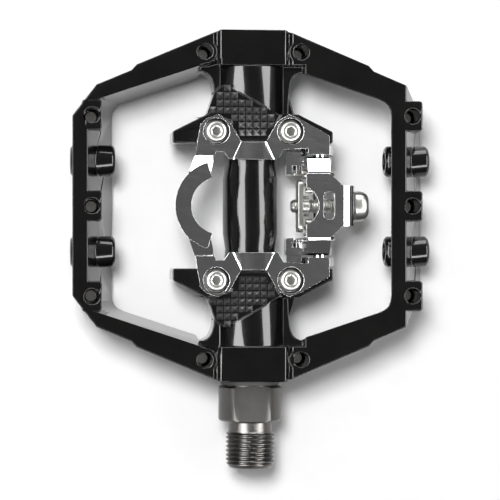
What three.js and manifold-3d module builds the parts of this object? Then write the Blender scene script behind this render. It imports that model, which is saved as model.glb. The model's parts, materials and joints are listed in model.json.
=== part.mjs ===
// Dual-sided bicycle pedal (right-hand): flat platform with grub-screw pins on one face,
// sprung cleat binding on the other. Millimetres, +Z up (binding face), +Y outboard,
// -X towards the fixed front claw. The origin is the centre of the threaded spindle end.
import * as THREE from "three";
import { mergeVertices } from "three/addons/utils/BufferGeometryUtils.js";
import Module from "manifold-3d";

const wasm = await Module();
wasm.setup();

// ---- driving dimensions ----
const HALF_LENGTH = 50.7; // cage, hub centre to end face, along the spindle
const HALF_HEIGHT = 11; // cage faces
const HALF_WIDTH = 52; // cage, spindle axis to the widest edge
const SIDE_LEAN = 7.6; // how far a side bar leans over its height
const BAR = 4.5; // side bar, along X
const ARM = 9.7; // arm beside the hub, along Y
const ARM_GAIN = 0.088; // and how it thins towards the corner
const CORNER_IN_X = 7; // corner chamfer, along X
const CORNER_Y = 35.7; // arm meets the corner chamfer
const SIDE_END_Y = 25.7; // side bar meets the corner chamfer
const BLOCK_HALF_X = 9.3; // end blocks round the hub bore
const BLOCK_LENGTH = 10.2;
const GROOVE = 1.1; // half the groove beside each block
const ARM_STEP = 1; // the arm's outer wall drops back here
const ARM_STEP_IN_X = 18.5;
const WINDOW_R = 5;
const WEB_X = 15; // gussets between hub and arms reach this far
const WEB_HALF_Z = 5.5;

const BARREL_R = 8; // hub, middle
const NECK_R = 7.3; // hub, under the bridges
const HUB_R = 10.7; // hub, ends
const PAD_DROP = 1.4; // knurl's base below the cage face
const WING_TIP_X = 23.2;
const WING_IN_Y = 18;
const WING_T = 3.4; // wing's tip, along Y
const WING_DROP = 1.1; // wing's top below the cage face
const WING_BOTTOM = -6;

const PIN_R = 2.05;
const PIN_PROUD = 2.5;
const PIN_LENGTH = 10.5;
const PIN_BAR_IN = 5.7; // bar pins, in from the widest edge
const PIN_BAR_Y = 26;
const PIN_END_X = 13.9;
const PIN_END_IN = 6.4; // end pins, in from the end face
const PIN_SOCKET_AF = 2;
const PIN_WALL_X = 0.85; // metal round a bar pin
const PIN_WALL_Y = 2.35;
const REFLECTOR_R = 4.55;
const REFLECTOR_HOLE_R = 2.65;
const REFLECTOR_Y = 13.2;
const REFLECTOR_L = 13;
const REFLECTOR_PROUD = 0.4;

const SCREW_X = 10.7;
const SCREW_Y = 21.4;
const SCREW_R = 2;
const SCREW_HEAD_R = 2.8;
const SCREW_HEAD_H = 1.5;
const SCREW_LENGTH = 12;
const SCREW_SOCKET_AF = 2.5;
const SCREW_BOSS_WALL = 3.2;
const SCREW_PLAY = 1.05; // head to the rim of its dished seat
const SEAT_DEPTH = 1.2;

const PLATE_T = 2; // binding frame sheet
const BRIDGE_DIP = 1.2;
const BRIDGE_HALF_X = 3.6; // bridge's flat floor, half
const BRIDGE_RISE_X = 3.4;
const BRIDGE_IN_Y = 13.4;
const BRIDGE_W = 5;
const LEG_IN_X = 11.8; // hoop legs, along X
const LEG_OUT_X = 16.8;
const LEG_Y = 13.6; // and where they leave the plate
const LEG_TOP_Y = 9.8; // and where their slope reaches the hoop
const CLEAT_GAP = 2.2; // sheet to the underside of both claws
const HOOK_T = 1.9;
const HOOP_X = -10; // centre of the front hoop's arc
const HOOP_IN_R = 8.2;
const HOOP_W = 4.6;

const PIVOT_X = 20.1;
const PIVOT_DROP = 7.4; // shaft below the wing's top
const PIVOT_R = 2;
const PIVOT_PROUD = 0.2; // shaft end past the lug
const EAR_IN_Y = 12;
const EAR_T = 2.2;
const EAR_PLAY = 0.6; // ear to lug
const LUG_T = 2.5;
const LUG_WALL = 2.1; // metal round the shaft
const EAR_WALL = 1.6;
const JAW_X = 14.8;
const JAW_BITE = 3.6;
const JAW_HALF_Y = 5.4;
const CLAW_TOP_Y = 9;
const CLAW_SIDE_L = 6.8; // straight side of the claw's top
const CLAW_BACK_X = 29.2;
const STOP_T = 1.7; // frame arm that the spring legs and claw tongues rest on

const WIRE_R = 0.85;
const SPRING_PLAY = 1; // wire to shaft
const SPRING_IN_Y = 4.6;
const SPRING_TURNS = 2.5;

const BOLT_R = 2;
const BOLT_PLAY = 0.5; // bolt to pivot shaft
const BOLT_TIP_X = 11.2;
const BOLT_HEAD_R = 4.35;
const BOLT_HEAD_RIM = 1.6;
const BOLT_HEAD_DOME = 2.6;
const BOLT_SOCKET_AF = 3;
const TENSION_X = 13;
const TENSION_T = 1.5;
const TENSION_HALF_Y = 7.6;
const TENSION_DOWN = 3.6; // plate's edges below and above the bolt
const TENSION_UP = 4;
const TENSION_WALL = 1; // boss round the bolt
const TENSION_BOSS_L = 2;

const THREAD_R = 7.1; // 9/16 inch by 20 threads per inch
const THREAD_L = 10.95;
const UNDERCUT_R = 6.6;
const UNDERCUT_L = 2.7;
const COLLAR_R = 9.25;
const COLLAR_L = 10.5;
const SEAL_SHOWN = 1.2; // seal between block and collar
const SEAL_SUNK = 2.2; // seal inside the block
const SEAL_IN = 0.7; // seal's edge in from the collar's
const SEAL_T = 1.15;
const FLATS = 15; // pedal spanner
const SHAFT_R = 4.8;
const BUSH_JOURNAL_R = 6;
const BUSH_L = 15;
const BUSH_WALL = 1.3;
const BEARING_JOURNAL_R = 4;
const BEARING_IN = 21.4; // bearing, in from the end face
const BEARING_W = 6;
const RACE_T = 1;
const BALL_R = 0.8;
const BALLS = 9;
const NUT_WALL = 1.75;
const NUT_H = 4.2;
const WASHER_WALL = 2;
const WASHER_T = 1;
const SPINDLE_TAIL = 2;
const CAP_R = 8;
const CAP_T = 5;
const CAP_SOCKET_AF = 8;
const O_RING_R = 0.6;
const O_RING_AT = 1.6; // in from the cap's inner face

// ---- clearances ----
const GAP = 0.3; // faces that rest on each other
const FIT = 0.1; // radial, round pieces in round holes
const PIN_FIT = 0.15; // radial, threaded pieces
const OVER = 1; // cutters run past the faces they cut

// ---- solids ----
function solid(geometry) {
  geometry.deleteAttribute("normal");
  geometry.deleteAttribute("uv");
  const merged = mergeVertices(geometry.index ? geometry.toNonIndexed() : geometry, 1e-4);
  return new wasm.Manifold(
    new wasm.Mesh({
      numProp: 3,
      vertProperties: new Float32Array(merged.attributes.position.array),
      triVerts: new Uint32Array(merged.index.array),
    })
  );
}

function outline(points, radii = 0, arcSteps = 4) {
  const shape = new THREE.Shape();
  const corner = points.map(([x, y]) => new THREE.Vector2(x, y));
  corner.forEach((at, i) => {
    const r = Array.isArray(radii) ? radii[i] : radii;
    const before = corner[(i + corner.length - 1) % corner.length].clone().sub(at).normalize();
    const after = corner[(i + 1) % corner.length].clone().sub(at).normalize();
    const half = Math.acos(THREE.MathUtils.clamp(before.dot(after), -1, 1)) / 2;
    const back = r / Math.tan(half);
    const from = at.clone().addScaledVector(before, back);
    const to = at.clone().addScaledVector(after, back);
    if (i === 0) shape.moveTo(from.x, from.y);
    else shape.lineTo(from.x, from.y);
    if (r > 0) {
      const bend = new THREE.QuadraticBezierCurve(from, at, to).getPoints(arcSteps);
      bend.slice(1).forEach((p) => shape.lineTo(p.x, p.y));
    }
  });
  shape.closePath();
  return shape;
}

function prism(shape, depth) {
  return new THREE.ExtrudeGeometry(shape, { depth, bevelEnabled: false, curveSegments: 12 });
}

const AXES = {
  x: new THREE.Matrix4().makeBasis(
    new THREE.Vector3(0, 1, 0), new THREE.Vector3(0, 0, 1), new THREE.Vector3(1, 0, 0)
  ),
  y: new THREE.Matrix4().makeBasis(
    new THREE.Vector3(1, 0, 0), new THREE.Vector3(0, 0, 1), new THREE.Vector3(0, -1, 0)
  ),
  z: new THREE.Matrix4(),
};

// Along z the outline is (x, y); along x it is (y, z); along y it is (x, z).
function bar(axis, points, low, high, radii = 0, arcSteps = 4) {
  const geometry = prism(outline(points, radii, arcSteps), high - low).applyMatrix4(AXES[axis]);
  const shift = { x: [low, 0, 0], y: [0, high, 0], z: [0, 0, low] }[axis];
  return solid(geometry.translate(...shift));
}

function box(x0, x1, y0, y1, z0, z1) {
  const geometry = new THREE.BoxGeometry(x1 - x0, y1 - y0, z1 - z0);
  return solid(geometry.translate((x0 + x1) / 2, (y0 + y1) / 2, (z0 + z1) / 2));
}

// A round piece along an axis, from (distance, radius) pairs; ends are closed on the axis.
function turned(axis, profile, segments = 24) {
  const points = [
    new THREE.Vector2(0, profile[0][0]),
    ...profile.map(([at, r]) => new THREE.Vector2(r, at)),
    new THREE.Vector2(0, profile[profile.length - 1][0]),
  ];
  return placeRound(new THREE.LatheGeometry(points, segments), axis);
}

function ring(axis, rIn, rOut, low, high, segments = 24) {
  const points = [[rIn, low], [rOut, low], [rOut, high], [rIn, high], [rIn, low]];
  const profile = points.map(([r, at]) => new THREE.Vector2(r, at));
  return placeRound(new THREE.LatheGeometry(profile, segments), axis);
}

function placeRound(geometry, axis) {
  if (axis === "z") geometry.rotateX(Math.PI / 2);
  if (axis === "x") geometry.rotateZ(-Math.PI / 2);
  const body = solid(geometry);
  return body.volume() < 0 ? flipped(geometry) : body;
}

function flipped(geometry) {
  const position = geometry.toNonIndexed().attributes.position;
  const turnedOut = new THREE.BufferGeometry();
  const points = [];
  for (let i = 0; i < position.count; i += 3) {
    for (const k of [i, i + 2, i + 1]) {
      points.push(position.getX(k), position.getY(k), position.getZ(k));
    }
  }
  turnedOut.setAttribute("position", new THREE.Float32BufferAttribute(points, 3));
  return solid(turnedOut);
}

function hexagon(acrossFlats) {
  const r = acrossFlats / Math.sqrt(3);
  return [0, 1, 2, 3, 4, 5].map((i) => [r * Math.cos((i * Math.PI) / 3), r * Math.sin((i * Math.PI) / 3)]);
}

function join(solids) {
  return solids.reduce((all, next) => all.add(next));
}

function cut(body, tools) {
  return tools.reduce((left, tool) => left.subtract(tool), body);
}

function turnOver(body) {
  return body.rotate([0, 180, 0]);
}

function mirrorY(points) {
  return points.map(([x, y]) => [x, -y]).reverse();
}

const SIDES = [1, -1];
const CORNERS = [[1, 1], [-1, 1], [-1, -1], [1, -1]];
const blockIn = HALF_LENGTH - BLOCK_LENGTH;
const padZ = HALF_HEIGHT - PAD_DROP;
const wingTop = HALF_HEIGHT - WING_DROP;
const plateBottom = wingTop + GAP;
const plateTop = plateBottom + PLATE_T;
const hookZ = plateTop + CLEAT_GAP;
const hookTop = hookZ + HOOK_T;
const seatR = SCREW_HEAD_R + SCREW_PLAY;
const bridgeOut = BRIDGE_IN_Y + BRIDGE_W;
const bridgeX = BRIDGE_HALF_X + BRIDGE_RISE_X;
const hoopOutR = HOOP_IN_R + HOOP_W;
const pivotZ = wingTop - PIVOT_DROP;
const earOut = EAR_IN_Y + EAR_T;
const lugIn = earOut + EAR_PLAY;
const lugOut = lugIn + LUG_T;
const lugR = PIVOT_R + LUG_WALL;
const earR = PIVOT_R + EAR_WALL;
const pivotHalf = lugOut + PIVOT_PROUD;
const springR = PIVOT_R + SPRING_PLAY + WIRE_R;
const springOut = EAR_IN_Y - WIRE_R - 1.15;
const stopTop = pivotZ - springR - WIRE_R - GAP;
const boltZ = pivotZ + PIVOT_R + BOLT_PLAY + BOLT_R;
const pinBossX = PIN_R + PIN_WALL_X;
const pinBossY = PIN_R + PIN_WALL_Y;
const pinSpots = [
  ...[-1, 1].flatMap((sx) => [-1, 0, 1].map((sy) => [sx * (HALF_WIDTH - PIN_BAR_IN), sy * PIN_BAR_Y])),
  ...CORNERS.map(([sx, sy]) => [sx * PIN_END_X, sy * (HALF_LENGTH - PIN_END_IN)]),
];

// ---- spindle stations along Y, from the hub centre ----
const sealFace = -HALF_LENGTH;
const collarOut = sealFace - SEAL_SHOWN;
const collarIn = collarOut - COLLAR_L;
const threadStart = collarIn - UNDERCUT_L;
const spindleEnd = threadStart - THREAD_L;
const sealPocket = sealFace + SEAL_SUNK;
const sealR = COLLAR_R - SEAL_IN;
const bushStart = sealPocket + GAP;
const bushEnd = bushStart + BUSH_L;
const raceInR = BEARING_JOURNAL_R + FIT;
const ballPitch = raceInR + RACE_T + BALL_R + FIT;
const raceOutR = ballPitch + BALL_R + FIT + RACE_T;
const bearingAt = HALF_LENGTH - BEARING_IN;
const washerStart = bearingAt + BEARING_W + GAP;
const nutStart = washerStart + WASHER_T + GAP;
const nutEnd = nutStart + NUT_H;
const tailEnd = nutEnd + SPINDLE_TAIL;
const capOut = HALF_LENGTH - GAP;
const capIn = capOut - CAP_T;

// ---- cage and hub ----
const cornerX = HALF_WIDTH - CORNER_IN_X;
const armSlope = (HALF_LENGTH - CORNER_Y) / (cornerX - BLOCK_HALF_X);

// The cage's outer edge along an arm.
function armY(x) {
  return HALF_LENGTH - (x - BLOCK_HALF_X) * armSlope;
}

// The window's edge along the arm, from hub to corner.
function windowY(x) {
  return armY(x) - ARM + (x - BLOCK_HALF_X) * ARM_GAIN;
}

function cageOutline() {
  const stepX = HALF_WIDTH - ARM_STEP_IN_X;
  const stepEnd = stepX + 1.5 * ARM_STEP;
  const quarter = [
    [HALF_WIDTH, SIDE_END_Y],
    [cornerX, CORNER_Y - ARM_STEP],
    [stepEnd, armY(stepEnd) - ARM_STEP],
    [stepX, armY(stepX)],
    [BLOCK_HALF_X, HALF_LENGTH],
  ];
  const half = [...quarter, ...quarter.map(([x, y]) => [-x, y]).reverse()];
  return [...half, ...half.map(([x, y]) => [-x, -y])];
}

function lean(body) {
  const k = SIDE_LEAN / (2 * HALF_HEIGHT);
  return body.warp((v) => {
    v[0] -= k * v[2];
  });
}

function cage() {
  const tall = HALF_HEIGHT + OVER;
  const middle = HALF_WIDTH - SIDE_LEAN / 2;
  const shell = bar("z", cageOutline(), -HALF_HEIGHT, HALF_HEIGHT);
  const leaning = lean(box(-middle, middle, -HALF_LENGTH - OVER, HALF_LENGTH + OVER, -tall, tall));
  const inner = middle - BAR;
  const windows = SIDES.map((side) => {
    const points = [
      [0, -side * windowY(0)],
      [side * inner, -side * windowY(inner)],
      [side * inner, side * windowY(inner)],
      [0, side * windowY(0)],
    ];
    return lean(bar("z", points, -tall, tall, [0, WINDOW_R, WINDOW_R, 0]));
  });
  const core = box(-WEB_X, WEB_X, -blockIn, blockIn, -tall, tall);
  return cut(shell.intersect(leaning), [...windows, core]);
}

// Gussets that round the corners between hub and arms and stiffen the hub's sides.
function webs() {
  const armIn = windowY(WEB_X);
  const bend = new THREE.QuadraticBezierCurve(
    new THREE.Vector2(WEB_X + 0.4, windowY(WEB_X + 0.4)),
    new THREE.Vector2(HUB_R + 0.5, armIn),
    new THREE.Vector2(HUB_R + 0.2, armIn - 6.5)
  );
  const edge = bend.getPoints(6).map((p) => [p.x, p.y]);
  const points = [[6, blockIn + 1], [WEB_X + 0.4, blockIn + 1], ...edge, [HUB_R - 0.1, 24], [6, 24]];
  return CORNERS.map(([sx, sy]) => {
    const placed = points.map(([x, y]) => [sx * x, sy * y]);
    return bar("z", sx * sy > 0 ? placed.reverse() : placed, -WEB_HALF_Z, WEB_HALF_Z);
  });
}

function pinBosses() {
  return pinSpots.slice(0, 6).map(([x, y]) => {
    const points = [
      [x - pinBossX, y - pinBossY], [x + pinBossX, y - pinBossY],
      [x + pinBossX, y + pinBossY], [x - pinBossX, y + pinBossY],
    ];
    return bar("z", points, -HALF_HEIGHT, HALF_HEIGHT, 0.9, 2);
  });
}

function reflectorSpots() {
  return CORNERS.map(([sx, sy]) => [sx, sy * REFLECTOR_Y]);
}

function alongX(profile, y, z, segments) {
  return turned("x", profile, segments).translate([0, y, z]);
}

const reflectorOut = HALF_WIDTH + REFLECTOR_PROUD;
const reflectorIn = reflectorOut - REFLECTOR_L;

function reflectorBosses() {
  const c = 0.8;
  return reflectorSpots().map(([sx, y]) => {
    const profile = [
      [reflectorIn, REFLECTOR_R - c],
      [reflectorIn + c, REFLECTOR_R],
      [reflectorOut - c, REFLECTOR_R],
      [reflectorOut, REFLECTOR_R - c],
    ];
    const boss = alongX(profile, y, 0, 20);
    return sx > 0 ? boss : boss.mirror([1, 0, 0]);
  });
}

function hub() {
  const half = [
    [0, BARREL_R],
    [8, BARREL_R],
    [12.3, NECK_R],
    [WING_IN_Y, NECK_R + 0.4],
    [WING_IN_Y + 5, HUB_R],
    [blockIn + 1, HUB_R],
  ];
  const profile = [...half.slice(1).map(([y, r]) => [-y, r]).reverse(), ...half.slice(1)];
  return turned("y", profile, 32);
}

function wing(sx, sy) {
  const tip = WING_IN_Y + WING_T;
  const shoulder = Math.max(tip, SCREW_Y) + 5;
  const points = [
    [6, WING_IN_Y],
    [WING_TIP_X, WING_IN_Y],
    [WING_TIP_X, tip],
    [SCREW_X + 2.5, shoulder],
    [6, shoulder],
  ].map(([x, y]) => [sx * x, sy * y]);
  const turn = sx * sy > 0 ? points : points.reverse();
  return bar("z", turn, WING_BOTTOM, wingTop, 0.6, 2);
}

function screwBoss(sx, sy) {
  const r = SCREW_R + SCREW_BOSS_WALL;
  const boss = turned("z", [[-padZ, r - 0.6], [1 - padZ, r], [wingTop, r]], 20);
  const y = [sy * WING_IN_Y, sy * (SCREW_Y + r + OVER)].sort((a, b) => a - b);
  const keep = box(-WING_TIP_X, WING_TIP_X, y[0], y[1], -HALF_HEIGHT, HALF_HEIGHT);
  return boss.translate([sx * SCREW_X, sy * SCREW_Y, 0]).intersect(keep);
}

// Knurled pad of the binding face, outboard end; the others follow by symmetry.
const PAD = [
  [-8.2, SCREW_Y + 13.7], [-11, SCREW_Y + 11.7], [-SCREW_X - 2.5, SCREW_Y + 5.3],
  [-6.4, SCREW_Y + 3.2], [-BRIDGE_HALF_X + 0.2, bridgeOut + 0.4], [BRIDGE_HALF_X, bridgeOut + 0.4],
  [SCREW_X - 2.6, SCREW_Y + 4.7],
];

function padPrisms(low, high) {
  const click = [bar("z", PAD, low, high), bar("z", mirrorY(PAD), low, high)];
  return [...click, ...click.map(turnOver)];
}

function blocks() {
  const x = BLOCK_HALF_X;
  return SIDES.map((side) => {
    const ys = [side * blockIn, side * HALF_LENGTH].sort((a, b) => a - b);
    return box(-x, x, ys[0], ys[1], -HALF_HEIGHT, HALF_HEIGHT);
  });
}

function blockGrooves() {
  const w = GROOVE;
  const deep = GROOVE + 0.1;
  const x = BLOCK_HALF_X + w;
  return [x, -x].flatMap((at) =>
    SIDES.map((side) => {
      const z = side * HALF_HEIGHT;
      const tip = z - side * deep;
      const points = [[at - w, z + side * 0.1], [at, tip], [at + w, z + side * 0.1]];
      const turn = side > 0 ? points : points.reverse();
      return bar("y", turn, -HALF_LENGTH - OVER, HALF_LENGTH + OVER);
    })
  );
}

function pinCollars() {
  return pinSpots.slice(6).map(([x, y]) =>
    turned("z", [[-HALF_HEIGHT, PIN_R + 1.55], [HALF_HEIGHT, PIN_R + 1.55]], 16).translate([x, y, 0])
  );
}

function spindleBore() {
  return turned("y", [
    [-HALF_LENGTH - OVER, sealR + FIT],
    [sealPocket, sealR + FIT],
    [sealPocket, BUSH_JOURNAL_R + BUSH_WALL + 2 * FIT],
    [bushEnd + GAP, BUSH_JOURNAL_R + BUSH_WALL + 2 * FIT],
    [bushEnd + GAP, SHAFT_R + 0.8],
    [bearingAt - GAP, SHAFT_R + 0.8],
    [bearingAt - GAP, raceOutR + FIT],
    [bearingAt + BEARING_W + GAP, raceOutR + FIT],
    [bearingAt + BEARING_W + GAP, CAP_R - 0.4],
    [capIn - GAP, CAP_R - 0.4],
    [capIn - GAP, CAP_R + FIT],
    [HALF_LENGTH + OVER, CAP_R + FIT],
  ], 24);
}

function pedalBody() {
  const grown = cut(cage(), blockGrooves());
  const rough = join([
    grown,
    ...pinBosses(),
    ...pinCollars(),
    ...blocks(),
    ...reflectorBosses(),
    ...webs(),
    hub(),
    ...CORNERS.flatMap(([sx, sy]) => [wing(sx, sy), screwBoss(sx, sy)]),
    ...padPrisms(0, padZ),
  ]);
  const tall = HALF_HEIGHT + OVER;
  const pinHoles = pinSpots.map(([x, y]) =>
    turned("z", [[-tall, PIN_R + PIN_FIT], [tall, PIN_R + PIN_FIT]], 16).translate([x, y, 0])
  );
  const screwHoles = CORNERS.map(([sx, sy]) => {
    const r = SCREW_R + PIN_FIT;
    const hole = turned("z", [[plateTop - SCREW_LENGTH - OVER, r], [tall, r]], 12);
    return hole.translate([sx * SCREW_X, sy * SCREW_Y, 0]);
  });
  const reflectorHoles = reflectorSpots().map(([sx, y]) => {
    const hole = alongX(
      [[reflectorIn - OVER, REFLECTOR_HOLE_R], [reflectorOut + OVER, REFLECTOR_HOLE_R]], y, 0, 14
    );
    return sx > 0 ? hole : hole.mirror([1, 0, 0]);
  });
  return cut(rough, [...padPrisms(padZ, tall), ...pinHoles, ...screwHoles, ...reflectorHoles, spindleBore()]);
}

// ---- spindle and hub internals ----
function spindle() {
  const c = 0.8;
  const turnedBody = turned("y", [
    [spindleEnd, THREAD_R - c],
    [spindleEnd + c, THREAD_R],
    [threadStart, THREAD_R],
    [threadStart + 0.6, UNDERCUT_R],
    [collarIn, UNDERCUT_R],
    [collarIn, COLLAR_R - 0.5],
    [collarIn + 0.5, COLLAR_R],
    [collarOut - 0.5 - GAP, COLLAR_R],
    [collarOut - GAP, COLLAR_R - 0.5],
    [collarOut - GAP, sealR - SEAL_T - FIT],
    [sealPocket - GAP, sealR - SEAL_T - FIT],
    [sealPocket, BUSH_JOURNAL_R],
    [bushEnd - 1, BUSH_JOURNAL_R],
    [bushEnd, SHAFT_R],
    [bearingAt - 1.5, SHAFT_R],
    [bearingAt - 1.5, BEARING_JOURNAL_R],
    [tailEnd - 0.5, BEARING_JOURNAL_R],
    [tailEnd, BEARING_JOURNAL_R - 0.5],
  ]);
  const wide = COLLAR_R + OVER;
  const flats = SIDES.map((side) => {
    const z = [side * FLATS / 2, side * wide].sort((a, b) => a - b);
    return box(-wide, wide, collarIn - OVER, collarOut - GAP / 2, z[0], z[1]);
  });
  return cut(turnedBody, flats);
}

function ballCage() {
  const mid = bearingAt + BEARING_W / 2;
  const band = ring("y", ballPitch - 0.35, ballPitch + 0.35, mid - 1.3, mid + 1.3, 18);
  const balls = Array.from({ length: BALLS }, (_, i) => {
    const turn = (i * 2 * Math.PI) / BALLS;
    const ball = new THREE.IcosahedronGeometry(BALL_R, 0);
    return solid(ball.translate(ballPitch * Math.cos(turn), mid, ballPitch * Math.sin(turn)));
  });
  return join([band, ...balls]);
}

function lockNut() {
  const nut = bar("y", hexagon(2 * (BEARING_JOURNAL_R + NUT_WALL)), nutStart, nutEnd);
  const r = BEARING_JOURNAL_R + FIT;
  return nut.subtract(turned("y", [[nutStart - OVER, r], [nutEnd + OVER, r]]));
}

function endCap() {
  const groove = capIn + O_RING_AT;
  const half = O_RING_R + FIT;
  const plug = turned("y", [
    [capIn, CAP_R - FIT],
    [groove - half, CAP_R - FIT],
    [groove - half, CAP_R - 2 * O_RING_R - FIT],
    [groove + half, CAP_R - 2 * O_RING_R - FIT],
    [groove + half, CAP_R - FIT],
    [capOut - 0.4, CAP_R - FIT],
    [capOut, CAP_R - FIT - 0.4],
  ]);
  return plug.subtract(bar("y", hexagon(CAP_SOCKET_AF), capOut - 2.4, capOut + OVER));
}

function oRing() {
  const at = capIn + O_RING_AT;
  const middle = CAP_R - O_RING_R;
  const points = Array.from({ length: 7 }, (_, i) => {
    const turn = (i * Math.PI) / 3;
    const r = O_RING_R * 0.95;
    return new THREE.Vector2(middle + r * Math.cos(turn), at + r * Math.sin(turn));
  });
  return placeRound(new THREE.LatheGeometry(points, 24), "y");
}

// ---- binding frame: sheet, bridges, front hoop, pivot lugs ----
function framePlates(side) {
  const rimY = SCREW_Y + seatR + 0.95;
  const front = [
    [-bridgeX, rimY - 1.8], [-SCREW_X + 0.5, rimY], [-SCREW_X - 2.7, rimY - 1],
    [-SCREW_X - 4.6, SCREW_Y + 1.9], [-SCREW_X - 5.5, SCREW_Y - 2.9], [-LEG_OUT_X, LEG_Y],
    [-LEG_IN_X, LEG_Y], [-LEG_IN_X + 1, LEG_Y + 2], [-bridgeX - 1.6, LEG_Y + 2],
    [-bridgeX, BRIDGE_IN_Y], [1 - bridgeX, BRIDGE_IN_Y], [-BRIDGE_HALF_X, bridgeOut],
  ];
  const rear = [
    [BRIDGE_HALF_X, bridgeOut], [bridgeX - 1, BRIDGE_IN_Y], [bridgeX, BRIDGE_IN_Y],
    [bridgeX + 1.6, lugIn + 1.4], [PIVOT_X - 4.4, lugOut - 0.7], [PIVOT_X + 1.8, lugOut - 0.3],
    [PIVOT_X + 1.8, lugOut + 3], [SCREW_X + 1.9, rimY - 0.8], [SCREW_X - 0.5, rimY], [bridgeX, rimY - 1.8],
  ];
  return [front, rear].map((points) => {
    const placed = side > 0 ? points.slice().reverse() : points.map(([x, y]) => [x, -y]);
    return bar("z", placed, plateBottom, plateTop);
  });
}

function bridge(side) {
  const low = plateBottom - BRIDGE_DIP;
  const dip = plateTop - BRIDGE_DIP;
  const x = bridgeX;
  const flat = BRIDGE_HALF_X - 0.3;
  const points = [
    [-x, plateBottom], [-flat, low], [flat, low], [x, plateBottom],
    [x, plateTop], [flat - 0.4, dip], [0.4 - flat, dip], [-x, plateTop],
  ];
  const y = [side * BRIDGE_IN_Y, side * bridgeOut].sort((a, b) => a - b);
  const span = bar("y", points, y[0], y[1]);
  const keep = [
    [-BRIDGE_HALF_X, bridgeOut], [-x, BRIDGE_IN_Y - 1.4], [x, BRIDGE_IN_Y - 1.4], [BRIDGE_HALF_X, bridgeOut],
  ];
  const placed = side > 0 ? keep : mirrorY(keep);
  return span.intersect(bar("z", placed, 0, plateTop + OVER));
}

// A leg rises from the front plate to the hoop; its section is drawn in Y and Z.
function hoopLeg(side) {
  const riser = [
    [LEG_Y + 0.8, plateTop], [LEG_Y + 0.4, plateTop + 0.5], [LEG_TOP_Y, hookTop], [HOOP_IN_R, hookTop],
    [HOOP_IN_R, hookZ], [LEG_TOP_Y - 0.6, hookZ], [LEG_Y - 1, plateTop], [LEG_Y - 1, plateBottom + 0.4],
    [LEG_Y + 0.8, plateBottom],
  ];
  const placed = riser.map(([y, z]) => [side * y, z]);
  const turn = side > 0 ? placed.reverse() : placed;
  const strip = bar("x", turn, HOOP_X - HOOP_IN_R - 2, -LEG_IN_X);
  const keep = [
    [-LEG_OUT_X + 0.5, LEG_Y + 2.4], [-LEG_OUT_X - 2.2, HOOP_IN_R + 1.2], [-LEG_OUT_X - 1.6, HOOP_IN_R - 0.8],
    [HOOP_X - 4.2, HOOP_IN_R - 0.8], [-LEG_IN_X - 0.8, HOOP_IN_R + 1.4], [-LEG_IN_X, LEG_Y - 1],
    [-LEG_IN_X, LEG_Y + 2.4],
  ];
  const keepPlaced = side > 0 ? keep : mirrorY(keep);
  return strip.intersect(bar("z", keepPlaced, 0, hookTop + OVER));
}

function hoop() {
  const sweep = THREE.MathUtils.degToRad(74);
  const shape = new THREE.Shape();
  shape.absarc(0, 0, hoopOutR, Math.PI - sweep, Math.PI + sweep, false);
  shape.absarc(0, 0, HOOP_IN_R, Math.PI + sweep, Math.PI - sweep, true);
  shape.closePath();
  return solid(prism(shape, HOOK_T).translate(HOOP_X, 0, hookZ));
}

function lug(side) {
  const y = [side * lugIn, side * lugOut].sort((a, b) => a - b);
  const plate = [
    [PIVOT_X - 4.4, plateTop], [PIVOT_X + 0.2 - lugR, pivotZ], [PIVOT_X - 1, pivotZ + 1.1 - lugR],
    [PIVOT_X + lugR - 0.2, pivotZ], [PIVOT_X + 1.8, plateTop],
  ];
  const round = turned("y", [[y[0], lugR], [y[1], lugR]]).translate([PIVOT_X, 0, pivotZ]);
  const armZ = stopTop - STOP_T;
  const stopX = JAW_X - 3.8;
  const arm = [
    [stopX, armZ], [PIVOT_X - 1, armZ], [PIVOT_X - 1, pivotZ], [PIVOT_X - 3.2, pivotZ],
    [JAW_X + 0.7, stopTop], [stopX, stopTop],
  ];
  const tabY = [side * (EAR_IN_Y - 2.8), side * (lugIn + OVER)].sort((a, b) => a - b);
  const tab = box(stopX, JAW_X + 0.7, tabY[0], tabY[1], armZ, stopTop);
  return join([bar("y", plate, y[0], y[1]), round, bar("y", arm, y[0], y[1]), tab]);
}

function bindingFrame() {
  const sheet = join(
    SIDES.flatMap((side) => [...framePlates(side), bridge(side), hoopLeg(side), lug(side)])
  );
  const holes = CORNERS.flatMap(([sx, sy]) => {
    const at = [sx * SCREW_X, sy * SCREW_Y, 0];
    const r = SCREW_R + PIN_FIT;
    const hole = turned("z", [[plateBottom - OVER, r], [plateTop + OVER, r]], 12);
    const seat = plateTop - SEAT_DEPTH;
    const dish = turned("z", [[seat, seatR - 0.6], [plateTop + 0.01, seatR]], 20);
    return [hole.translate(at), dish.translate(at)];
  });
  const shaftHole = turned("y", [[-pivotHalf - OVER, PIVOT_R + FIT], [pivotHalf + OVER, PIVOT_R + FIT]]);
  return cut(sheet.add(hoop()), [...holes, shaftHole.translate([PIVOT_X, 0, pivotZ])]);
}

function bindingScrew() {
  const seat = plateTop - SEAT_DEPTH + GAP;
  const top = seat + SCREW_HEAD_H;
  const shape = turned("z", [
    [plateTop - SCREW_LENGTH, SCREW_R - 0.5],
    [plateTop - SCREW_LENGTH + 0.5, SCREW_R],
    [seat, SCREW_R],
    [seat, SCREW_HEAD_R],
    [top - 0.35, SCREW_HEAD_R],
    [top, SCREW_HEAD_R - 0.45],
  ], 16);
  return shape.subtract(bar("z", hexagon(SCREW_SOCKET_AF), top - 0.9, top + OVER));
}

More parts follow.
